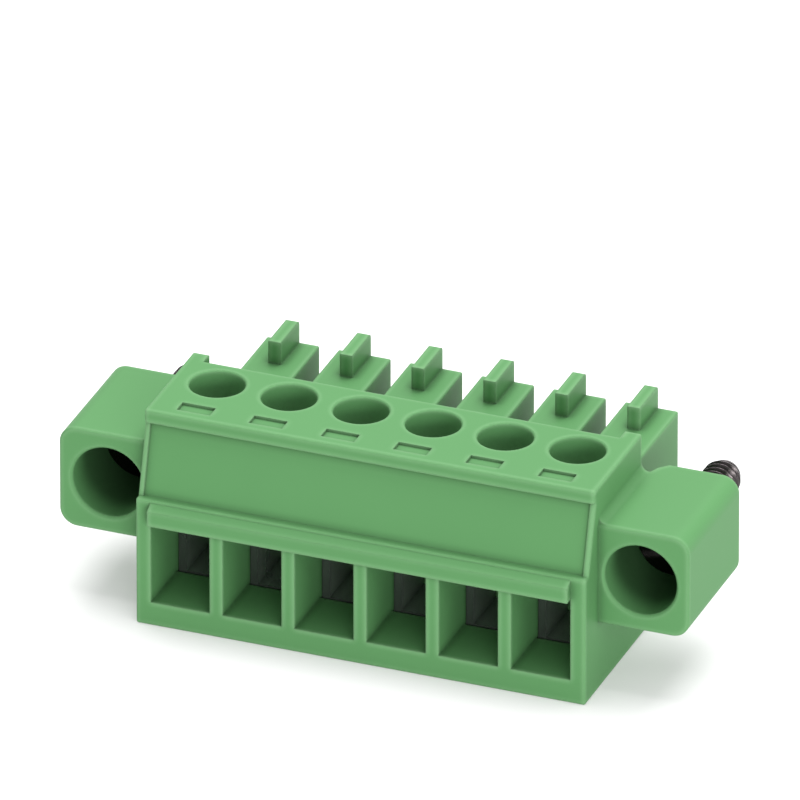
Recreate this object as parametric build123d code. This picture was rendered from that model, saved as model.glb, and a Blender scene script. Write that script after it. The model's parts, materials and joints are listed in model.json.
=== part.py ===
from build123d import *
import os

# A six-pole plug with rising box clamps and two screw flanges, in millimetres.
# X runs along the row of poles, Y from the wire side to the mating side, Z up from the base.
# Depths are measured from the wire face and heights from the base, until the last step
# puts the origin under the middle of the plug.

# The row of poles
POLES = 6
PITCH = 3.81
END_MARGIN = 2.345          # from an end pole's axis to the end face of the body

# Side view of the body
BODY_HEIGHT = 11.3
BODY_DEPTH = 8.87           # wire face to the stop face that meets the header
LEDGE_HEIGHT = 6.98         # top of the box round the wire openings
WALL_FOOT_SETBACK = 0.5     # the upper front wall leans back from here
WALL_TOP_SETBACK = 1.5
LIP_OVERHANG = 0.27
LIP_HEIGHT = 0.68
CROWN_DEPTH = 7.06          # wire face to the back edge of the top face
CHEEK_WIDTH = 0.27          # smooth strip at each end of the leaning wall
CHEEK_PROUD = 0.15
EAR_WIDTH = 0.86            # end walls that run on behind the crown
EAR_REACH = 0.74
EDGE_ROUND = 0.12           # radius of the body's outer edges

# Wire openings and the brow above them
OPENING_WIDTH = 3.13
OPENING_HEIGHT = 4.5
OPENING_SILL = 1.29
WIRE_GUIDE_DEPTH = 3.5      # wire face to the clamp chamber
BROW_PROUD = 0.47
BROW_FACE = 0.81            # height of its front face
BROW_RISE = 0.25            # from the front face's top back to the ledge

# Marking recesses in the top face
MARK_WIDTH = 1.75
MARK_DEPTH = 0.8
MARK_SINK = 0.14
MARK_TO_SCREW = 2.43        # back edge of a recess to the screw's axis

# Mating fingers
FINGER_LENGTH = 6.51
FINGER_WIDTH = 2.8
FINGER_TOP = 8.59
FINGER_HEIGHT = 5.6
FINGER_BREAK = 0.06         # bevels on its edges
RIB_WIDTH = 0.65
RIB_HEIGHT = 1.23
RIB_LENGTH = 2.6
RIB_CORNER = 0.25

# Contact cavities and pin entries
CAVITY_WIDTH = 2.0
PIN_WALL = 0.7
PIN_ENTRY = 1.2
PIN_LEAD_IN = 0.35

# Screw flanges
FLANGE_REACH = 4.76         # beyond the end face of the body
FLANGE_SETBACK = 1.79
FLANGE_FOOT = 3.75
FLANGE_HEIGHT = 5.5
FLANGE_CORNER = 0.9
FLANGE_BREAK = 0.08         # bevels round its front and back faces
FLANGE_COVE = 0.4           # hollow rounding where its top meets the body
FLANGE_SCREW_SPAN = 28.12   # from one flange screw's axis to the other's
FLANGE_BACK_WALL = 1.4
RELIEF_FRONT = 0.43         # widths of the relief behind the flange, from the body's end face
RELIEF_KNEE = 0.65
RELIEF_BACK = 1.15
COUNTERBORE_BREAK = 0.12

# Box clamps
SLEEVE_CLEARANCE = 0.08
SLEEVE_DEPTH = 3.0
SLEEVE_SHEET = 0.4          # thin enough for the screw to pass between the side walls
SLEEVE_CORNER = 0.3
SLEEVE_THREAD_HEIGHT = 1.2
CHAMBER_FLOOR = 0.85
CHAMBER_GAP = 0.1           # under the resting sleeve and over the raised one
JAW_OPENING = 2.65          # between the open sleeve's floor and the current bar
CLAMP_TRAVEL = 2.1
SLEEVE_TO_BAR = 0.25

# Clamp screws
SCREW_DIAMETER = 2.0
SCREW_FIT = 0.03            # radial room in the threads, which are left smooth
SCREW_HEAD_DIAMETER = 2.62
SCREW_HEAD_HEIGHT = 1.4
SCREW_HEAD_CLEARANCE = 0.09
SCREW_SLOT_WIDTH = 0.5
SCREW_SLOT_DEPTH = 0.7
SCREW_TIP_BREAK = 0.2
SCREW_HEAD_BREAK = 0.12
SCREW_HOLE_BREAK = 0.08

# Flange screws
FLANGE_SCREW_DIAMETER = 2.0
FLANGE_SCREW_NECK = 1.6
FLANGE_SCREW_FIT = 0.07     # radial room round the neck
FLANGE_HEAD_DIAMETER = 3.6
FLANGE_HEAD_CLEARANCE = 0.1
FLANGE_HEAD_HEIGHT = 1.5
FLANGE_SLOT_WIDTH = 0.55
FLANGE_SLOT_DEPTH = 0.75
FLANGE_SCREW_PROJECTION = 4.95   # beyond the flange's back face
FLANGE_TIP_LENGTH = 0.65
FLANGE_TIP_DIAMETER = 1.5
FLANGE_THREAD_GAP = 0.25

# Contacts
CONTACT_SHEET = 0.4
CONTACT_CLEARANCE = 0.1
CONTACT_NOSE = 0.3          # how far the current bar reaches in front of the sleeve
CONTACT_BASE_LENGTH = 2.2
LEAF_HEIGHT = 1.9
LEAF_STRAIGHT = 1.6
LEAF_PINCH = 0.6            # gap between the leaves where they grip the pin
LEAF_MOUTH = 1.1            # gap at their flared tips
LEAF_FLARE_LENGTH = 1.1
LEAF_TIP_CLEARANCE = 0.6    # from the flared tips to the pin wall

# Drawing aids
OVERRUN = 1.0               # how far a form runs on into its neighbour, or a tool past its end
SAME_PLACE = 1e-6

# Along X
POLE_X = [(i - (POLES - 1) / 2) * PITCH for i in range(POLES)]
BODY_HALF = POLE_X[-1] + END_MARGIN
FLANGE_X = FLANGE_SCREW_SPAN / 2
OVERALL_HALF = BODY_HALF + FLANGE_REACH

# Depths
LENGTH = BODY_DEPTH + FINGER_LENGTH
CHAMBER_DEPTH = SLEEVE_DEPTH + 2 * SLEEVE_CLEARANCE
CHAMBER_BACK = WIRE_GUIDE_DEPTH + CHAMBER_DEPTH
SCREW_Y = WIRE_GUIDE_DEPTH + CHAMBER_DEPTH / 2
CAVITY_BACK = LENGTH - PIN_WALL
LEAF_TIP = CAVITY_BACK - LEAF_TIP_CLEARANCE
EAR_BACK = CROWN_DEPTH + EAR_REACH
MIDDLE_Y = (LENGTH - BROW_PROUD) / 2

# Heights
OPENING_TOP = OPENING_SILL + OPENING_HEIGHT
FINGER_BOTTOM = FINGER_TOP - FINGER_HEIGHT
FLANGE_TOP = FLANGE_FOOT + FLANGE_HEIGHT
FLANGE_Z = FLANGE_FOOT + FLANGE_HEIGHT / 2
SLEEVE_BOTTOM = CHAMBER_FLOOR + CHAMBER_GAP
BAR_BOTTOM = SLEEVE_BOTTOM + SLEEVE_SHEET + JAW_OPENING
BAR_TOP = BAR_BOTTOM + CONTACT_SHEET
SLEEVE_TOP = BAR_TOP + SLEEVE_TO_BAR + SLEEVE_THREAD_HEIGHT
CHAMBER_TOP = SLEEVE_TOP + CLAMP_TRAVEL + CHAMBER_GAP
LEAF_TOP = BAR_TOP + LEAF_HEIGHT
PIN_Z = BAR_TOP + LEAF_HEIGHT / 2

# Widths and diameters that follow from what fits inside them
SLEEVE_WIDTH = OPENING_WIDTH - 2 * SLEEVE_CLEARANCE
SLEEVE_WINDOW = SLEEVE_WIDTH - 2 * SLEEVE_SHEET
BAR_WIDTH = CAVITY_WIDTH - 2 * CONTACT_CLEARANCE
SCREW_HOLE = SCREW_HEAD_DIAMETER + 2 * SCREW_HEAD_CLEARANCE
COUNTERBORE = FLANGE_HEAD_DIAMETER + 2 * FLANGE_HEAD_CLEARANCE
FLANGE_BORE = FLANGE_SCREW_NECK + 2 * FLANGE_SCREW_FIT


def block(x, y, z):
    """A box from three (low, high) pairs."""
    size = [high - low for low, high in (x, y, z)]
    middle = [(high + low) / 2 for low, high in (x, y, z)]
    return Pos(*middle) * Box(*size)


def side_section(points, x_low, x_high, rounded=()):
    """A prism along X with a side-view outline of (depth, height) points.

    The corners at the places in rounded get the radius of the outer edges.
    """
    outline = Polyline(*points, close=True)
    face = make_face(Plane.YZ * outline)
    if rounded:
        places = [Vector(0, *points[i]) for i in rounded]
        corners = [v for v in face.vertices() if any((Vector(*v) - p).length < SAME_PLACE for p in places)]
        face = fillet(corners, EDGE_ROUND)
    return Pos(x_low, 0, 0) * extrude(face, x_high - x_low, dir=(1, 0, 0))


def rod(diameter, low, high):
    """A round bar along Z, from one height to another."""
    return Pos(0, 0, (low + high) / 2) * Cylinder(diameter / 2, high - low)


def cone(low_diameter, high_diameter, low, high):
    """A tapered round bar along Z."""
    return Pos(0, 0, (low + high) / 2) * Cone(low_diameter / 2, high_diameter / 2, high - low)


def body_shell():
    """The moulding without its flanges, fingers and cavities."""
    lip = WALL_TOP_SETBACK - LIP_OVERHANG
    lip_foot = BODY_HEIGHT - LIP_HEIGHT
    outline = [
        (0, 0),
        (0, LEDGE_HEIGHT),
        (WALL_FOOT_SETBACK, LEDGE_HEIGHT),
        (WALL_TOP_SETBACK, lip_foot),
        (lip, lip_foot),
        (lip, BODY_HEIGHT),
        (CROWN_DEPTH, BODY_HEIGHT),
        (CROWN_DEPTH, FINGER_TOP),
        (BODY_DEPTH, FINGER_TOP),
        (BODY_DEPTH, 0),
    ]
    shell = side_section(outline, -BODY_HALF, BODY_HALF, (0, 1, 5, 6, 9))
    for side in (-1, 1):
        shell += [cheek(side), ear(side)]
    ends = shell.faces().filter_by(Axis.X).group_by(Axis.X)
    return fillet(ends[0].edges() + ends[-1].edges(), EDGE_ROUND)


def cheek(side):
    """The smooth strip that closes the leaning wall at one end."""
    lip_foot = BODY_HEIGHT - LIP_HEIGHT
    outline = [
        (WALL_FOOT_SETBACK - CHEEK_PROUD, LEDGE_HEIGHT),
        (WALL_TOP_SETBACK - CHEEK_PROUD, lip_foot),
        (CROWN_DEPTH / 2, lip_foot),
        (CROWN_DEPTH / 2, LEDGE_HEIGHT),
    ]
    return side_section(outline, *sorted((side * (BODY_HALF - CHEEK_WIDTH), side * BODY_HALF)))


def ear(side):
    """The end wall, which runs on behind the crown."""
    outline = [
        (CROWN_DEPTH / 2, FINGER_TOP),
        (CROWN_DEPTH / 2, BODY_HEIGHT),
        (EAR_BACK, BODY_HEIGHT),
        (EAR_BACK, FINGER_TOP),
    ]
    return side_section(outline, *sorted((side * (BODY_HALF - EAR_WIDTH), side * BODY_HALF)), (2,))


def brow():
    """The proud bar over the openings, with a flat front and a top that falls from the ledge."""
    reach = POLE_X[-1] + OPENING_WIDTH / 2
    face_top = OPENING_TOP + BROW_FACE
    inside = BODY_DEPTH - CROWN_DEPTH
    outline = [
        (inside, OPENING_TOP),
        (-BROW_PROUD, OPENING_TOP),
        (-BROW_PROUD, face_top),
        (0, face_top + BROW_RISE),
        (inside, face_top + BROW_RISE),
    ]
    return side_section(outline, -reach, reach)


def flange(side):
    """One screw flange, rounded at its two outer edges and relieved behind, next to the body."""
    inner = BODY_HALF - FLANGE_COVE
    outer = OVERALL_HALF
    piece = block((inner, outer), (FLANGE_SETBACK, BODY_DEPTH), (FLANGE_FOOT, FLANGE_TOP))
    corners = piece.edges().filter_by(Axis.Y).group_by(Axis.X)[-1]
    piece = fillet(corners, FLANGE_CORNER)
    rim = [
        edge
        for face in piece.faces().filter_by(Axis.Y)
        for edge in face.edges()
        if edge.center().X > inner + FLANGE_BREAK
    ]
    piece = chamfer(rim, FLANGE_BREAK)
    relief = [
        (inner, EAR_BACK),
        (BODY_HALF + RELIEF_FRONT, EAR_BACK),
        (BODY_HALF + RELIEF_KNEE, (EAR_BACK + BODY_DEPTH) / 2),
        (BODY_HALF + RELIEF_BACK, BODY_DEPTH),
        (inner, BODY_DEPTH),
    ]
    plan = Pos(0, 0, FLANGE_FOOT) * make_face(Polyline(*relief, close=True))
    piece -= extrude(plan, FLANGE_HEIGHT, dir=(0, 0, 1))
    piece += cove()
    return piece if side > 0 else mirror(piece, Plane.YZ)


def cove():
    """The hollow rounding between the flange's top and the body's end face."""
    with BuildSketch(Plane.XZ) as section:
        with BuildLine():
            Polyline(
                (BODY_HALF, FLANGE_TOP + FLANGE_COVE),
                (BODY_HALF - FLANGE_COVE, FLANGE_TOP + FLANGE_COVE),
                (BODY_HALF - FLANGE_COVE, FLANGE_TOP - FLANGE_COVE),
                (BODY_HALF + FLANGE_COVE, FLANGE_TOP - FLANGE_COVE),
                (BODY_HALF + FLANGE_COVE, FLANGE_TOP),
            )
            RadiusArc(
                (BODY_HALF + FLANGE_COVE, FLANGE_TOP),
                (BODY_HALF, FLANGE_TOP + FLANGE_COVE),
                FLANGE_COVE,
            )
        make_face()
    front = FLANGE_SETBACK + FLANGE_BREAK
    return Pos(0, front, 0) * extrude(section.sketch, EAR_BACK - front, dir=(0, 1, 0))


def flange_bores(side):
    """What the flange screw passes through: counterbore, neck bore and a bevelled rim."""
    seat = BODY_DEPTH - FLANGE_BACK_WALL
    rim = COUNTERBORE + 2 * COUNTERBORE_BREAK
    along_y = Pos(side * FLANGE_X, 0, FLANGE_Z) * Rot(-90, 0, 0)
    tool = rod(COUNTERBORE, FLANGE_SETBACK - OVERRUN, seat)
    tool += rod(FLANGE_BORE, seat - OVERRUN, BODY_DEPTH + OVERRUN)
    tool += cone(rim, COUNTERBORE, FLANGE_SETBACK, FLANGE_SETBACK + COUNTERBORE_BREAK)
    return along_y * tool


def finger():
    """One mating finger with its guide rib, about X = 0."""
    half = FINGER_WIDTH / 2
    piece = block((-half, half), (BODY_DEPTH - OVERRUN, LENGTH), (FINGER_BOTTOM, FINGER_TOP))
    root = piece.faces().sort_by(Axis.Y)[0].edges()
    piece = chamfer([edge for edge in piece.edges() if edge not in root], FINGER_BREAK)
    rib = block(
        (-RIB_WIDTH / 2, RIB_WIDTH / 2),
        (LENGTH - RIB_LENGTH, LENGTH),
        (FINGER_TOP - FINGER_BREAK, FINGER_TOP + RIB_HEIGHT),
    )
    crown = rib.edges().filter_by(Axis.X).group_by(Axis.Z)[-1].sort_by(Axis.Y)[-1]
    return piece + fillet(crown, RIB_CORNER)


def pole_cavities():
    """Everything that is hollow in one pole, about X = 0."""
    half = OPENING_WIDTH / 2
    cavity_half = CAVITY_WIDTH / 2
    entry = PIN_ENTRY / 2
    guide = block(
        (-half, half), (-OVERRUN, WIRE_GUIDE_DEPTH + OVERRUN), (OPENING_SILL, OPENING_TOP)
    )
    chamber = block((-half, half), (WIRE_GUIDE_DEPTH, CHAMBER_BACK), (CHAMBER_FLOOR, CHAMBER_TOP))
    cavity = block(
        (-cavity_half, cavity_half),
        (CHAMBER_BACK - OVERRUN, CAVITY_BACK),
        (BAR_BOTTOM, LEAF_TOP + CONTACT_CLEARANCE),
    )
    entry_hole = block(
        (-entry, entry), (CAVITY_BACK - OVERRUN, LENGTH + OVERRUN), (PIN_Z - entry, PIN_Z + entry)
    )
    mouth = Pos(0, LENGTH, PIN_Z) * Rot(90, 0, 0) * loft(
        [
            Rectangle(PIN_ENTRY + 2 * PIN_LEAD_IN, PIN_ENTRY + 2 * PIN_LEAD_IN),
            Pos(0, 0, PIN_LEAD_IN) * Rectangle(PIN_ENTRY, PIN_ENTRY),
        ]
    )
    rim = SCREW_HOLE + 2 * SCREW_HOLE_BREAK
    hole = rod(SCREW_HOLE, CHAMBER_TOP - OVERRUN, BODY_HEIGHT + OVERRUN)
    hole += cone(SCREW_HOLE, rim, BODY_HEIGHT - SCREW_HOLE_BREAK, BODY_HEIGHT)
    mark_back = SCREW_Y - MARK_TO_SCREW
    mark = block(
        (-MARK_WIDTH / 2, MARK_WIDTH / 2),
        (mark_back - MARK_DEPTH, mark_back),
        (BODY_HEIGHT - MARK_SINK, BODY_HEIGHT + OVERRUN),
    )
    return [guide, chamber, cavity, entry_hole, mouth, Pos(0, SCREW_Y, 0) * hole, mark]


def housing():
    """The whole green moulding."""
    piece = body_shell() + brow()
    piece += [flange(side) for side in (-1, 1)]
    piece += [Pos(x, 0, 0) * finger() for x in POLE_X]
    for side in (-1, 1):
        piece -= flange_bores(side)
    for x in POLE_X:
        piece -= [Pos(x, 0, 0) * hollow for hollow in pole_cavities()]
    return piece


def contact():
    """Current bar and two-leaf spring of one pole, stamped from one sheet, about X = 0."""
    half = BAR_WIDTH / 2
    base_front = CHAMBER_BACK + CONTACT_CLEARANCE
    bar = block(
        (-half, half),
        (WIRE_GUIDE_DEPTH - CONTACT_NOSE, base_front + CONTACT_BASE_LENGTH),
        (BAR_BOTTOM, BAR_TOP),
    )
    pinch_y = LEAF_TIP - LEAF_FLARE_LENGTH
    outline = [
        (half, base_front),
        (half, base_front + LEAF_STRAIGHT),
        (LEAF_PINCH / 2 + CONTACT_SHEET, pinch_y),
        (LEAF_MOUTH / 2 + CONTACT_SHEET, LEAF_TIP),
        (LEAF_MOUTH / 2, LEAF_TIP),
        (LEAF_PINCH / 2, pinch_y),
        (half - CONTACT_SHEET, base_front + LEAF_STRAIGHT),
        (half - CONTACT_SHEET, base_front),
    ]
    plan = make_face(Polyline(*outline, close=True))
    leaf = Pos(0, 0, BAR_TOP) * extrude(plan, LEAF_HEIGHT, dir=(0, 0, 1))
    return bar + leaf + mirror(leaf, Plane.YZ)


def clamp_sleeve():
    """The box that the screw lifts: a square tube with a thick tapped top, about X = 0."""
    half = SLEEVE_WIDTH / 2
    front = WIRE_GUIDE_DEPTH + SLEEVE_CLEARANCE
    back = front + SLEEVE_DEPTH
    window_bottom = SLEEVE_BOTTOM + SLEEVE_SHEET
    window_top = SLEEVE_TOP - SLEEVE_THREAD_HEIGHT
    piece = block((-half, half), (front, back), (SLEEVE_BOTTOM, SLEEVE_TOP))
    piece = fillet(piece.edges().filter_by(Axis.Y), SLEEVE_CORNER)
    window = block(
        (-SLEEVE_WINDOW / 2, SLEEVE_WINDOW / 2),
        (front - OVERRUN, back + OVERRUN),
        (window_bottom, window_top),
    )
    thread = rod(SCREW_DIAMETER + 2 * SCREW_FIT, window_top - OVERRUN, SLEEVE_TOP + OVERRUN)
    return piece - window - Pos(0, SCREW_Y, 0) * thread


def slotted_screw(head_diameter, head_height, slot_width, slot_depth, head_break, shank):
    """A slotted screw along Z: the head's underside at zero, the shank below it."""
    low = head_height - head_break
    head = rod(head_diameter, 0, low)
    head += cone(head_diameter, head_diameter - 2 * head_break, low, head_height)
    slot = block(
        (-head_diameter, head_diameter),
        (-slot_width / 2, slot_width / 2),
        (head_height - slot_depth, head_height + OVERRUN),
    )
    return head - slot + shank


def clamp_screw():
    """One clamp screw, its tip on the current bar and its head over the chamber, about X = 0."""
    length = CHAMBER_TOP - BAR_TOP
    shank = rod(SCREW_DIAMETER, SCREW_TIP_BREAK - length, 0)
    tip_diameter = SCREW_DIAMETER - 2 * SCREW_TIP_BREAK
    shank += cone(tip_diameter, SCREW_DIAMETER, -length, SCREW_TIP_BREAK - length)
    screw = slotted_screw(
        SCREW_HEAD_DIAMETER,
        SCREW_HEAD_HEIGHT,
        SCREW_SLOT_WIDTH,
        SCREW_SLOT_DEPTH,
        SCREW_HEAD_BREAK,
        shank,
    )
    return Pos(0, SCREW_Y, CHAMBER_TOP) * screw


def flange_screw(side):
    """One captive flange screw: its thin neck turns in the flange's back wall."""
    thread_start = FLANGE_BACK_WALL + FLANGE_THREAD_GAP
    length = FLANGE_BACK_WALL + FLANGE_SCREW_PROJECTION
    tip_start = length - FLANGE_TIP_LENGTH
    shank = rod(FLANGE_SCREW_NECK, -thread_start, 0)
    shank += rod(FLANGE_SCREW_DIAMETER, -tip_start, -thread_start)
    shank += cone(FLANGE_TIP_DIAMETER, FLANGE_SCREW_DIAMETER, -length, -tip_start)
    screw = slotted_screw(
        FLANGE_HEAD_DIAMETER,
        FLANGE_HEAD_HEIGHT,
        FLANGE_SLOT_WIDTH,
        FLANGE_SLOT_DEPTH,
        SCREW_HEAD_BREAK,
        shank,
    )
    seat = BODY_DEPTH - FLANGE_BACK_WALL
    return Pos(side * FLANGE_X, seat, FLANGE_Z) * Rot(90, 0, 0) * screw


def save(name, piece):
    """Writes one piece with the origin under the middle of the plug."""
    placed = Pos(0, -MIDDLE_Y, 0) * piece
    export_step(placed, os.path.join("parts", name + ".step"))
    print(name, "volume", round(placed.volume, 3))


os.makedirs("parts", exist_ok=True)
save("housing", housing())
for number, pole_x in enumerate(POLE_X, start=1):
    at_pole = Pos(pole_x, 0, 0)
    save(f"contact_{number}", at_pole * contact())
    save(f"clamp_sleeve_{number}", at_pole * clamp_sleeve())
    save(f"clamp_screw_{number}", at_pole * clamp_screw())
save("flange_screw_left", flange_screw(-1))
save("flange_screw_right", flange_screw(1))
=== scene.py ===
# %% [markdown]
# A pluggable terminal block, dressed and lit. It is a green plug for six wires, with a row of mating
# fingers at the back and a screw flange at each end.
# The construction is fixed: it comes from the frame, in metres, and nothing here moves or resizes it.
# What is made here is the finish of every surface, and the eight screws with their real threads.

import json
import math

import bmesh
import bpy
import numpy as np
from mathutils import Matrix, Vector


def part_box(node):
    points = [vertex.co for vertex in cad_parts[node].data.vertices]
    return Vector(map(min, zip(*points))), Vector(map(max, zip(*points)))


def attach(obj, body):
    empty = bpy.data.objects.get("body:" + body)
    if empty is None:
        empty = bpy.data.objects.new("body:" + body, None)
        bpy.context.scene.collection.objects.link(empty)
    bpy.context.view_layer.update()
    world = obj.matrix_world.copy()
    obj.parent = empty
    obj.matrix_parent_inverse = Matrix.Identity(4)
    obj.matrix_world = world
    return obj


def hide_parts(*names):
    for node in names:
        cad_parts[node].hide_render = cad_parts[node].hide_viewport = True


MM = 0.001

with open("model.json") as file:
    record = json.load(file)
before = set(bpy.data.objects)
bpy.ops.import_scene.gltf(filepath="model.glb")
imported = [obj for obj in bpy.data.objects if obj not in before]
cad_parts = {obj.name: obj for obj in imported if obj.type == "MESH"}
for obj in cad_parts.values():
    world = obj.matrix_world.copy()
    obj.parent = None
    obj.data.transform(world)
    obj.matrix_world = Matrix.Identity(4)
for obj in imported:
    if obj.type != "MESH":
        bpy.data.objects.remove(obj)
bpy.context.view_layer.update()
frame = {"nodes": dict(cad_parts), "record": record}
nodes = frame["nodes"]

# %% [markdown]
# The photograph was taken from far away with a long lens: lines that run into the depth stay parallel.
# A camera close by would spread them, so this one stands one and a half metres off. Its bearing, rise
# and aim are what a fit to the corners of the plug gave. Its lens follows from the picture's scale: the
# pixels for each metre times the distance, divided by the picture's width, times the sensor's width.

# %% Camera
PICTURE_WIDTH = 800                     # pixels of the photograph
SCALE_AT_AIM = 20244.0                  # pixels for each metre, at the point that the camera looks at
CAMERA_BEARING = math.radians(21.21)    # to the right of the wire side
CAMERA_RISE = math.radians(28.099)      # above the floor
CAMERA_DISTANCE = 1.5                   # in metres
CLIP_END = 10.0                         # all of the scene is nearer than this
AIM = Vector((-1.4118, 1.645, 9.9554)) * MM
SENSOR_WIDTH = 36.0                     # in millimetres, and so is the lens


def add_camera():
    """A camera on the line from AIM that leaves at the bearing and the rise, looking back at AIM."""
    towards = Vector((
        math.sin(CAMERA_BEARING) * math.cos(CAMERA_RISE),
        -math.cos(CAMERA_BEARING) * math.cos(CAMERA_RISE),
        math.sin(CAMERA_RISE),
    ))
    data = bpy.data.cameras.new("photo_camera")
    data.sensor_width = SENSOR_WIDTH
    data.lens = SCALE_AT_AIM * CAMERA_DISTANCE / PICTURE_WIDTH * SENSOR_WIDTH
    data.clip_end = CLIP_END
    camera = bpy.data.objects.new("photo_camera", data)
    bpy.context.scene.collection.objects.link(camera)
    camera.location = AIM + towards * CAMERA_DISTANCE
    camera.rotation_euler = towards.to_track_quat("Z", "Y").to_euler()
    bpy.context.scene.camera = camera
    print("camera: lens", round(data.lens), "mm")


add_camera()

# %% [markdown]
# The plug stands on plain pale paper. A large flat square is enough, because its rim is far outside the
# picture. The paper glows a little, so it looks white and only a soft shadow shows round the plug.

# %% Floor
WHITE = (1, 1, 1, 1)
FLOOR_HALF = 0.45               # half of a side, in metres
PAPER_WHITE = 0.6
PAPER_GLOW = 0.25
PAPER_ROUGHNESS = 0.9
PAPER_SPECULAR = 0.1


def add_floor():
    """A flat square under the plug, at the height of its base."""
    half = FLOOR_HALF
    corners = [(-half, -half, 0), (half, -half, 0), (half, half, 0), (-half, half, 0)]
    mesh = bpy.data.meshes.new("floor")
    mesh.from_pydata(corners, [], [(0, 1, 2, 3)])
    floor = bpy.data.objects.new("floor", mesh)
    bpy.context.scene.collection.objects.link(floor)
    paper = bpy.data.materials.new("white_paper")
    paper.use_nodes = True
    shader = paper.node_tree.nodes["Principled BSDF"]
    shader.inputs["Base Color"].default_value = (PAPER_WHITE, PAPER_WHITE, PAPER_WHITE, 1)
    shader.inputs["Roughness"].default_value = PAPER_ROUGHNESS
    shader.inputs["Specular IOR Level"].default_value = PAPER_SPECULAR
    shader.inputs["Emission Color"].default_value = WHITE
    shader.inputs["Emission Strength"].default_value = PAPER_GLOW
    mesh.materials.append(paper)
    print("floor:", 2 * half, "m square")


add_floor()

# %% [markdown]
# A product shot on white has a bright even room, so that no side is dark. Three soft lamps give the faces
# their different tones. A large one overhead, a little behind the plug, makes the top faces the lightest.
# A low one in front lights the wire side, and a weak one on the right lifts the end faces. Lamps this
# large make no hard shadows. The plain view transform keeps the colours as the materials give them.

# %% Room and lamps
ROOM_STRENGTH = 0.78
LAMPS = {                       # place and size in metres, and power in watts
    "overhead": ((0.0, 0.14, 0.43), (0.42, 0.42), 3.45),
    "front": ((0.25, -0.42, 0.10), (0.25, 0.15), 1.55),
    "right": ((0.39, -0.22, 0.20), (0.22, 0.22), 0.54),
}


def add_room():
    """Even white light from all round."""
    room = bpy.data.worlds.new("white_room")
    room.use_nodes = True
    background = room.node_tree.nodes["Background"]
    background.inputs["Color"].default_value = WHITE
    background.inputs["Strength"].default_value = ROOM_STRENGTH
    bpy.context.scene.world = room


def add_lamp(name, place, size, watts):
    """A soft rectangular lamp, turned towards the plug."""
    data = bpy.data.lights.new(name, "AREA")
    data.shape = "RECTANGLE"
    data.size, data.size_y = size
    data.energy = watts
    lamp = bpy.data.objects.new(name, data)
    bpy.context.scene.collection.objects.link(lamp)
    lamp.location = place
    lamp.rotation_euler = Vector(place).to_track_quat("Z", "Y").to_euler()


add_room()
for name, settings in LAMPS.items():
    add_lamp(name, *settings)
bpy.context.scene.view_settings.view_transform = "Standard"
print("lamps:", ", ".join(LAMPS))

# %% [markdown]
# Several finishes need the same thing: a fine grain that breaks up the gloss, and a slow change of tone
# over the surface. A picture of it would need a file and would show seams, so it is noise, in a node group
# that is built once. The group takes the size and strength of both and gives a tone, a roughness and a
# height. Object coordinates are in metres and stay on the piece when a joint moves it. A grain of a tenth
# of a millimetre is there a noise scale of ten thousand.

# %% Surface grain
GRAIN_DETAIL = 3.0              # octaves of the fine and of the slow noise
MOTTLE_DETAIL = 2.0
NOISE_MIDDLE = 0.5


def new_group(name, inputs, outputs):
    """A shader node group with named float inputs and outputs, and its two end nodes."""
    group = bpy.data.node_groups.new(name, "ShaderNodeTree")
    for label, value in inputs.items():
        socket = group.interface.new_socket(label, in_out="INPUT", socket_type="NodeSocketFloat")
        socket.default_value = value
    for label in outputs:
        group.interface.new_socket(label, in_out="OUTPUT", socket_type="NodeSocketFloat")
    return group, group.nodes.new("NodeGroupInput"), group.nodes.new("NodeGroupOutput")


def add_math(tree, operation, first, second=0.0, clamp=False):
    """A Math node whose two inputs are sockets or numbers."""
    node = tree.nodes.new("ShaderNodeMath")
    node.operation = operation
    node.use_clamp = clamp
    for place, value in enumerate((first, second)):
        if isinstance(value, (int, float)):
            node.inputs[place].default_value = value
        else:
            tree.links.new(value, node.inputs[place])
    return node.outputs[0]


def add_noise(tree, where, scale, detail):
    """A noise from 0 to 1 at the places where, with its scale from a socket."""
    noise = tree.nodes.new("ShaderNodeTexNoise")
    noise.inputs["Detail"].default_value = detail
    tree.links.new(where, noise.inputs["Vector"])
    tree.links.new(scale, noise.inputs["Scale"])
    return noise.outputs["Fac"]


def surface_grain():
    """Fine grain and slow mottling on Object coordinates.

    The swing is the slow noise less its middle. Tone is 1 plus the swing times Tone Change, Roughness is
    Base Roughness plus the swing times Roughness Change, and Height is the fine noise itself.
    """
    inputs = {
        "Grain Scale": 9000.0,
        "Mottle Scale": 260.0,
        "Tone Change": 0.04,
        "Base Roughness": 0.4,
        "Roughness Change": 0.08,
    }
    group, start, end = new_group("surface_grain", inputs, ("Tone", "Roughness", "Height"))
    where = group.nodes.new("ShaderNodeTexCoord").outputs["Object"]
    fine = add_noise(group, where, start.outputs["Grain Scale"], GRAIN_DETAIL)
    slow = add_noise(group, where, start.outputs["Mottle Scale"], MOTTLE_DETAIL)
    swing = add_math(group, "SUBTRACT", slow, NOISE_MIDDLE)
    tone = add_math(group, "MULTIPLY", swing, start.outputs["Tone Change"])
    tone = add_math(group, "ADD", tone, 1.0)
    rough = add_math(group, "MULTIPLY", swing, start.outputs["Roughness Change"])
    rough = add_math(group, "ADD", rough, start.outputs["Base Roughness"], clamp=True)
    group.links.new(tone, end.inputs["Tone"])
    group.links.new(rough, end.inputs["Roughness"])
    group.links.new(fine, end.inputs["Height"])
    return group


SURFACE_GRAIN = surface_grain()
print("group:", SURFACE_GRAIN.name)

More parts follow.
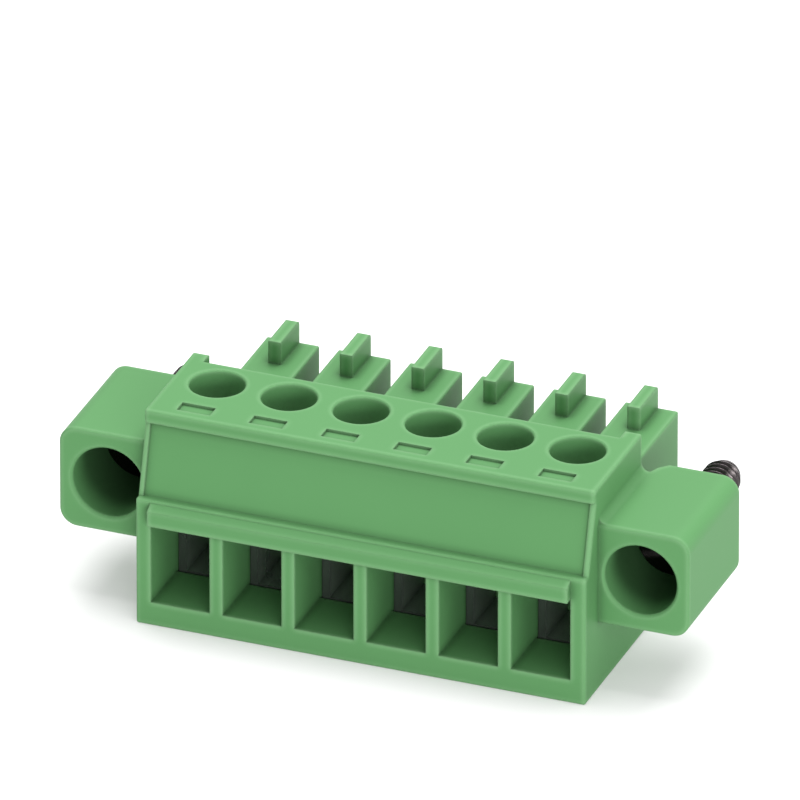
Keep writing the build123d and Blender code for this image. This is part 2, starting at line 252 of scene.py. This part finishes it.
# %% [markdown]
# Outer edges get a colour of their own. On the green moulding it is paler than the faces beside them, a
# painted highlight like the light that a rounded edge catches. On the screws and contacts it is wear, where
# edges are handled most, and the sleeves' edges are darker. Inner corners are painted darker, as painted
# shade where little light reaches. Both could be painted by hand, edge by edge, but the Ambient Occlusion
# node finds them by itself. It sends out short rays and tells how many of them get away. Set to look
# inwards, rays are blocked only next to an outer edge, where the other face is close by. Set to look
# outwards, they are blocked in an inner corner.

# %% Edges and corners
EDGE_REACH = 0.32 * MM
CORNER_REACH = 0.5 * MM
# painted shade in inner corners
CORNER_SHADE = 0.7             # share of the tone that a fully blocked corner loses
RAYS = 6


def blocked_share(tree, inside, reach):
    """Share of the short rays that hit the same piece within the reach: 0 on a clear face."""
    look = tree.nodes.new("ShaderNodeAmbientOcclusion")
    look.inside = inside
    look.only_local = True
    look.samples = RAYS
    look.inputs["Distance"].default_value = reach
    return add_math(tree, "SUBTRACT", 1.0, look.outputs["AO"])


def edges_and_corners():
    """Edge is the share blocked inside. Corner Tone is 1 less CORNER_SHADE times the share outside."""
    # Corner Shade is painted shade in inner corners.
    group, _, end = new_group("edges_and_corners", {}, ("Edge", "Corner Shade"))
    group.links.new(blocked_share(group, True, EDGE_REACH), end.inputs["Edge"])
    darker = add_math(group, "MULTIPLY", blocked_share(group, False, CORNER_REACH), CORNER_SHADE)
    group.links.new(add_math(group, "SUBTRACT", 1.0, darker), end.inputs["Corner Shade"])
    return group


EDGES_AND_CORNERS = edges_and_corners()
print("group:", EDGES_AND_CORNERS.name)

# %% [markdown]
# The two flange bores are deep and lead to a dark screw head, so their walls fall off to a very dark
# green. The lamps of this scene reach further in than those of the photograph did, but to move them would
# change every other face too. So a group measures how far inside a bore a point is, and darkens the walls
# with the depth.

# %% Shade in the flange bores
BORE_AXIS_X = 14.06 * MM
BORE_AXIS_Z = 6.5 * MM
BORE_REACH = 2.05 * MM          # a little more than the radius of the bore
BORE_MOUTH_Y = -5.665 * MM
BORE_FLOOR_Y = 0.3 * MM
SHADE_FROM = 0.3 * MM           # depths between which the shade comes in
SHADE_FULL = 2.2 * MM
SHADE_LEFT = 0.4                # share of the tone that is left at full shade


def object_place(tree):
    """The x, y and z of a point in Object coordinates, as three sockets."""
    where = tree.nodes.new("ShaderNodeTexCoord")
    split = tree.nodes.new("ShaderNodeSeparateXYZ")
    tree.links.new(where.outputs["Object"], split.inputs[0])
    return split.outputs["X"], split.outputs["Y"], split.outputs["Z"]


def ramp(tree, value, low, high, at_low, at_high):
    """A smooth step of value: at_low up to low, at_high from high on."""
    step = tree.nodes.new("ShaderNodeMapRange")
    step.interpolation_type = "SMOOTHSTEP"
    for label, number in (("From Min", low), ("From Max", high), ("To Min", at_low), ("To Max", at_high)):
        step.inputs[label].default_value = number
    tree.links.new(value, step.inputs["Value"])
    return step.outputs["Result"]


def bore_shade():
    """Tone is 1 outside the bores, and falls to SHADE_LEFT deep inside them.

    The distance from a bore's axis is the root of two squares summed: the size of x less the axis's x,
    and z less the axis's z. The size of x makes one pattern serve both ends.
    """
    group, _, end = new_group("bore_shade", {}, ("Tone",))
    x, y, z = object_place(group)
    across = add_math(group, "ABSOLUTE", x)
    across = add_math(group, "SUBTRACT", across, BORE_AXIS_X)
    above = add_math(group, "SUBTRACT", z, BORE_AXIS_Z)
    across_squared = add_math(group, "POWER", across, 2.0)
    above_squared = add_math(group, "POWER", above, 2.0)
    away = add_math(group, "SQRT", add_math(group, "ADD", across_squared, above_squared))
    near_axis = add_math(group, "LESS_THAN", away, BORE_REACH)
    before_floor = add_math(group, "LESS_THAN", y, BORE_FLOOR_Y)
    inside = add_math(group, "MULTIPLY", near_axis, before_floor)
    lost = ramp(group, y, BORE_MOUTH_Y + SHADE_FROM, BORE_MOUTH_Y + SHADE_FULL, 0.0, 1 - SHADE_LEFT)
    tone = add_math(group, "SUBTRACT", 1.0, add_math(group, "MULTIPLY", inside, lost))
    group.links.new(tone, end.inputs["Tone"])
    return group


BORE_SHADE = bore_shade()
print("group:", BORE_SHADE.name)

# %% [markdown]
# Each sleeve is a strip of plated sheet, bent to a box, so its front and back faces are cuts where the
# raw steel shows. They are painted much darker than the plated sides: a little of that is the raw steel,
# and most is painted shade, for faces that lie deep in the wire openings. A second material on those faces
# would mean a change to a carried mesh, so a group finds them by their place. All six sleeves stand at the
# same depth, so a point is on a cut face where it is half a sleeve's depth from their middle plane.

# %% Cut faces of the sleeves, raw steel and painted shade
SLEEVE_MIDDLE_Y = -2.375 * MM
SLEEVE_HALF_DEPTH = 1.5 * MM
# raw steel, and mostly painted shade
CUT_STEEL_AND_SHADE_TONE = 0.3
CUT_FADE_FROM = 0.03 * MM       # distances below a cut face between which its tone comes in
CUT_FADE_TO = 0.01 * MM


def cut_faces():
    """Tone is CUT_STEEL_AND_SHADE_TONE on the front and back faces of a sleeve, and 1 between them."""
    group, _, end = new_group("cut_faces", {}, ("Tone",))
    _, y, _ = object_place(group)
    away = add_math(group, "ABSOLUTE", add_math(group, "SUBTRACT", y, SLEEVE_MIDDLE_Y))
    plated_up_to = SLEEVE_HALF_DEPTH - CUT_FADE_FROM
    raw_from = SLEEVE_HALF_DEPTH - CUT_FADE_TO
    tone = ramp(group, away, plated_up_to, raw_from, 1.0, CUT_STEEL_AND_SHADE_TONE)
    group.links.new(tone, end.inputs["Tone"])
    return group


CUT_FACES = cut_faces()
print("group:", CUT_FACES.name)

# %% [markdown]
# One function turns a colour and a few numbers into a finish: the groups' tones darken or lighten the
# colour, the grain's roughness goes to the gloss, and its height to a bump that is a few micrometres deep.
# Real edges are never sharp. A bevel in the mesh would change the fixed construction, so the shader's
# Bevel node rounds only the light on them.

# %% How a finish is built
MICROMETRE = 1e-6
PLAIN_SPECULAR = 0.5
FINE_EDGE = 0.03 * MM
BEVEL_SAMPLES = 5


def add_group(tree, group, values=()):
    """Places a group in a material, with its inputs set from pairs of label and value."""
    node = tree.nodes.new("ShaderNodeGroup")
    node.node_tree = group
    for label, value in values:
        node.inputs[label].default_value = value
    return node.outputs


def finish_of(name, colour, edge_wear_and_highlight, metallic, grain, bump_depth,
              specular=PLAIN_SPECULAR, edge_radius=FINE_EDGE, shade=None):
    """A Principled material whose colour, gloss and bump vary as the groups say.

    The colour goes from the plain one to the edge one with the share of Edge: colour plus Edge times
    their difference. On the green moulding the edge colour is a painted highlight. The tones of the grain,
    the corners and the shade group then multiply it, and the corners' tone is painted shade. The Bevel
    node turns the shading normal near an edge, so that an edge that is sharp in the mesh catches the light
    as one with this radius does.
    """
    material = bpy.data.materials.new(name)
    material.use_nodes = True
    tree = material.node_tree
    shader = tree.nodes["Principled BSDF"]
    shader.inputs["Metallic"].default_value = metallic
    shader.inputs["Specular IOR Level"].default_value = specular
    effect = add_group(tree, SURFACE_GRAIN, grain.items())
    form = add_group(tree, EDGES_AND_CORNERS)
    tone = add_math(tree, "MULTIPLY", effect["Tone"], form["Corner Shade"])
    if shade:
        tone = add_math(tree, "MULTIPLY", tone, add_group(tree, shade)["Tone"])
    # edge colour: a painted highlight on the green moulding, wear on the screws and contacts
    wear_and_highlight_mix = tree.nodes.new("ShaderNodeVectorMath")
    wear_and_highlight_mix.operation = "MULTIPLY_ADD"
    wear_and_highlight_mix.inputs[0].default_value = [after - before for before, after in zip(colour, edge_wear_and_highlight)]
    wear_and_highlight_mix.inputs[2].default_value = colour
    tree.links.new(form["Edge"], wear_and_highlight_mix.inputs[1])
    tint = tree.nodes.new("ShaderNodeVectorMath")
    tint.operation = "SCALE"
    tree.links.new(wear_and_highlight_mix.outputs[0], tint.inputs[0])
    tree.links.new(tone, tint.inputs["Scale"])
    tree.links.new(tint.outputs[0], shader.inputs["Base Color"])
    tree.links.new(effect["Roughness"], shader.inputs["Roughness"])
    bevel = tree.nodes.new("ShaderNodeBevel")
    bevel.samples = BEVEL_SAMPLES
    bevel.inputs["Radius"].default_value = edge_radius
    bump = tree.nodes.new("ShaderNodeBump")
    bump.inputs["Strength"].default_value = 1.0
    bump.inputs["Distance"].default_value = bump_depth
    tree.links.new(effect["Height"], bump.inputs["Height"])
    tree.links.new(bevel.outputs["Normal"], bump.inputs["Normal"])
    tree.links.new(bump.outputs["Normal"], shader.inputs["Normal"])
    print("finish:", name)
    return material


# %% [markdown]
# The housing is a moulding of green nylon. It has a satin face with a very fine grain from the mould. Its
# edges are painted paler than the faces, a painted highlight, and catch the light as if they were rounded
# by a fifth of a millimetre. Its gloss is weak, so the specular level is far below the usual one.

# %% Green moulding
green_moulding = finish_of(
    "green_moulding",
    colour=(0.08, 0.213, 0.08),
    # paler edges: a painted highlight
    edge_wear_and_highlight=(0.18, 0.34, 0.175),
    metallic=0.0,
    grain={"Grain Scale": 11000.0, "Mottle Scale": 180.0, "Tone Change": 0.06,
           "Base Roughness": 0.48, "Roughness Change": 0.1},
    bump_depth=2 * MICROMETRE,
    specular=0.09,
    edge_radius=0.2 * MM,
    shade=BORE_SHADE,
)

# %% [markdown]
# All screws are plated steel, so they are full metals: their colour is in the mirror light alone. Those
# of the clamps are a bright zinc grey. Those of the flanges are nearly black in the photograph, and
# smoother; their near-black colour is a painted reflection of dark surroundings. The strong mottling is
# the uneven plating of small screws.

# %% Plated screws
zinc_screw = finish_of(
    "zinc_screw",
    colour=(0.58, 0.58, 0.57),
    edge_wear_and_highlight=(0.7, 0.7, 0.68),
    metallic=1.0,
    grain={"Grain Scale": 16000.0, "Mottle Scale": 900.0, "Tone Change": 0.2,
           "Base Roughness": 0.34, "Roughness Change": 0.2},
    bump_depth=3 * MICROMETRE,
)
dark_screw = finish_of(
    "dark_screw",
    # near black: a painted reflection of dark surroundings
    colour=(0.055, 0.047, 0.05),
    edge_wear_and_highlight=(0.09, 0.08, 0.08),
    metallic=1.0,
    grain={"Grain Scale": 16000.0, "Mottle Scale": 900.0, "Tone Change": 0.3,
           "Base Roughness": 0.26, "Roughness Change": 0.15},
    bump_depth=3 * MICROMETRE,
)

# %% [markdown]
# The sleeves are nickel plated and sit deep in the wire openings, where they mirror the green walls. A
# full mirror would also show the bright room, so the plating is only half metallic, and a little green is
# painted into its own colour, as a painted reflection of the green walls. The contacts are tin plated:
# pale and matt, and darker and warmer at the edges, where the copper alloy wears through.

# %% Plated sleeves and contacts
nickel_sleeve = finish_of(
    "nickel_sleeve",
    # the green in this colour is a painted reflection of the green walls
    colour=(0.21, 0.27, 0.22),
    edge_wear_and_highlight=(0.17, 0.2, 0.18),
    metallic=0.5,
    grain={"Grain Scale": 7000.0, "Mottle Scale": 500.0, "Tone Change": 0.15,
           "Base Roughness": 0.3, "Roughness Change": 0.15},
    bump_depth=2 * MICROMETRE,
    shade=CUT_FACES,
)
tin_contact = finish_of(
    "tin_contact",
    colour=(0.7, 0.69, 0.66),
    edge_wear_and_highlight=(0.55, 0.5, 0.42),
    metallic=1.0,
    grain={"Grain Scale": 5000.0, "Mottle Scale": 700.0, "Tone Change": 0.12,
           "Base Roughness": 0.38, "Roughness Change": 0.15},
    bump_depth=2 * MICROMETRE,
)

# %% [markdown]
# The construction's own pieces are carried over as they are, and only get their finish. The first words
# of a node's name say what it is.

# %% Dress the construction
FINISHES = {
    "housing": green_moulding,
    "contact": tin_contact,
    "clamp_sleeve": nickel_sleeve,
    "clamp_screw": zinc_screw,
    "flange_screw": dark_screw,
}
for start, material in FINISHES.items():
    dressed = [node for node in nodes if node.startswith(start)]
    for node in dressed:
        mesh = nodes[node].data
        mesh.materials.clear()
        mesh.materials.append(material)
    print(material.name, "on", len(dressed), "nodes")

# %% [markdown]
# The construction leaves every shank smooth. A real thread is one surface: a tube whose radius goes in and
# out once for each pitch, in a pattern that climbs by one pitch with each turn. The same function cuts the
# six clamp screws and the two flange screws, because all of them are M2.

# %% Thread surface
THREAD_PITCH = 0.4 * MM
CREST_RADIUS = 1.0 * MM
ROOT_RADIUS = 0.77 * MM
CREST_FLAT = 0.125              # flats at the crest and the root, as shares of the pitch
ROOT_FLAT = 0.25
FULL_TURN = 2 * math.pi


def thread_radius(angle, along):
    """Radius of the thread's surface at an angle round its axis and a distance along it.

    The phase is the distance divided by the pitch, less the angle divided by a full turn. Only its
    fraction counts. Over one pitch the height of a tent goes from nought to one and back. Below the root
    flat the tent is cut to nought and above the crest flat to one, and what is left is the flank.
    """
    phase = (along / THREAD_PITCH - angle / FULL_TURN) % 1.0
    tent = 1 - np.abs(2 * phase - 1)
    flank = np.clip((tent - ROOT_FLAT) / (1 - ROOT_FLAT - CREST_FLAT), 0, 1)
    return ROOT_RADIUS + (CREST_RADIUS - ROOT_RADIUS) * flank


one_pitch = thread_radius(0.0, np.linspace(0, THREAD_PITCH, 9))
print("radius over one pitch:", [round(radius / MM, 2) for radius in one_pitch.tolist()])

# %% [markdown]
# A rod is that surface on a grid of rows along the axis and columns round it. A helical thread could also
# be swept along a curve, but the sweep has to be joined to the shank, and one grid has no such joint.

# %% Threaded rod
COLUMNS = 60
ROWS_PER_PITCH = 14


def threaded_rod(name, start, end, tip_radius, tip_slope):
    """A closed mesh of a threaded rod from start to end, with a bevelled tip.

    A point's place is start, plus the distance along the axis, plus the radius times a unit vector that
    turns round the axis. Near the tip the radius isn't more than the tip's radius plus the slope times
    the distance that is left.
    """
    axis = (end - start).normalized()
    side = axis.orthogonal().normalized()
    length = (end - start).length
    rows = round(length / THREAD_PITCH * ROWS_PER_PITCH) + 1
    angle = np.linspace(0, FULL_TURN, COLUMNS, endpoint=False)[None, :]
    along = np.linspace(0, length, rows)[:, None]
    radius = np.minimum(thread_radius(angle, along), tip_radius + (length - along) * tip_slope)
    turn = np.cos(angle)[..., None] * np.array(side) + np.sin(angle)[..., None] * np.array(axis.cross(side))
    place = np.array(start) + along[..., None] * np.array(axis) + radius[..., None] * turn
    first = np.arange(rows - 1)[:, None] * COLUMNS
    here = np.arange(COLUMNS)[None, :]
    after = (here + 1) % COLUMNS
    walls = np.stack([first + here, first + after, first + after + COLUMNS, first + here + COLUMNS], -1)
    last = (rows - 1) * COLUMNS
    caps = [list(range(COLUMNS - 1, -1, -1)), list(range(last, last + COLUMNS))]
    mesh = bpy.data.meshes.new(name)
    mesh.from_pydata(place.reshape(-1, 3).tolist(), [], walls.reshape(-1, 4).tolist() + caps)
    return mesh


print("rows for each millimetre:", round(ROWS_PER_PITCH * MM / THREAD_PITCH))

# %% [markdown]
# A finished screw keeps the head of its construction node. A copy of the node's mesh is merged, because
# a carried mesh is loose triangles, and cut off square where the thread begins. The rod goes on from
# there. The screw then stands in for the node and rides on its body, so it turns with the joint.

# %% A screw from its node
MERGE_WITHIN = 1e-7
SHARP_ANGLE = math.radians(28)
CUT_OVERLAP = 0.02 * MM         # the head keeps this much of the shank past the start of the rod


def head_of(node, place, axis):
    """What is left of a screw's mesh in front of place, as a closed form."""
    form = bmesh.new()
    form.from_mesh(nodes[node].data)
    bmesh.ops.remove_doubles(form, verts=form.verts, dist=MERGE_WITHIN)
    whole = form.verts[:] + form.edges[:] + form.faces[:]
    cut = bmesh.ops.bisect_plane(form, geom=whole, plane_co=place, plane_no=axis, clear_outer=True)
    rim = [item for item in cut["geom_cut"] if isinstance(item, bmesh.types.BMEdge)]
    bmesh.ops.edgeloop_fill(form, edges=rim)
    return form


def add_screw(node, start, end, tip, material):
    """A screw with a real thread from start to end, in place of a construction node."""
    axis = (end - start).normalized()
    form = head_of(node, start + axis * CUT_OVERLAP, axis)
    rod = threaded_rod(node + "_rod", start, end, **tip)
    form.from_mesh(rod)
    mesh = bpy.data.meshes.new(node + "_threaded")
    form.to_mesh(mesh)
    form.free()
    bpy.data.meshes.remove(rod)
    mesh.polygons.foreach_set("use_smooth", np.ones(len(mesh.polygons), dtype=bool))
    mesh.set_sharp_from_angle(angle=SHARP_ANGLE)
    mesh.materials.append(material)
    screw = bpy.data.objects.new(node + "_threaded", mesh)
    bpy.context.scene.collection.objects.link(screw)
    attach(screw, node)
    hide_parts(node)
    print(screw.name, "faces:", len(mesh.polygons))


low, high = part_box("flange_screw_left")
print("a flange screw of the construction:", round((high - low).y / MM, 2), "mm long")

# %% [markdown]
# The record places each screw. Every hinge of the plug is one, and its node has the name of its body. The
# hinge's point lies on the axis: just under the head of a clamp screw, which is threaded right up to there,
# and at the back face of the flange for a flange screw. A flange screw has a thin neck that turns in the
# flange's wall, and a longer tip that finds the tapped hole.

# %% Screws
FLANGE_NECK = 0.25 * MM         # bare neck between the flange's back face and the thread
CLAMP_TIP = {"tip_radius": 0.8 * MM, "tip_slope": 1.0}              # full width 0.2 mm before its end
FLANGE_TIP = {"tip_radius": 0.75 * MM, "tip_slope": 0.25 / 0.65}    # full width 0.65 mm before its end

for joint in frame["record"]["behaviour"]["joints"]:
    if joint["type"] != "hinge":
        continue
    node = joint["child"]
    seat = Vector(joint["pos_m"])
    low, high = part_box(node)
    if node.startswith("clamp"):
        tip_end = Vector((seat.x, seat.y, low.z))
        add_screw(node, seat, tip_end, CLAMP_TIP, zinc_screw)
    else:
        neck_end = seat + Vector((0, FLANGE_NECK, 0))
        tip_end = Vector((seat.x, high.y, seat.z))
        add_screw(node, neck_end, tip_end, FLANGE_TIP, dark_screw)
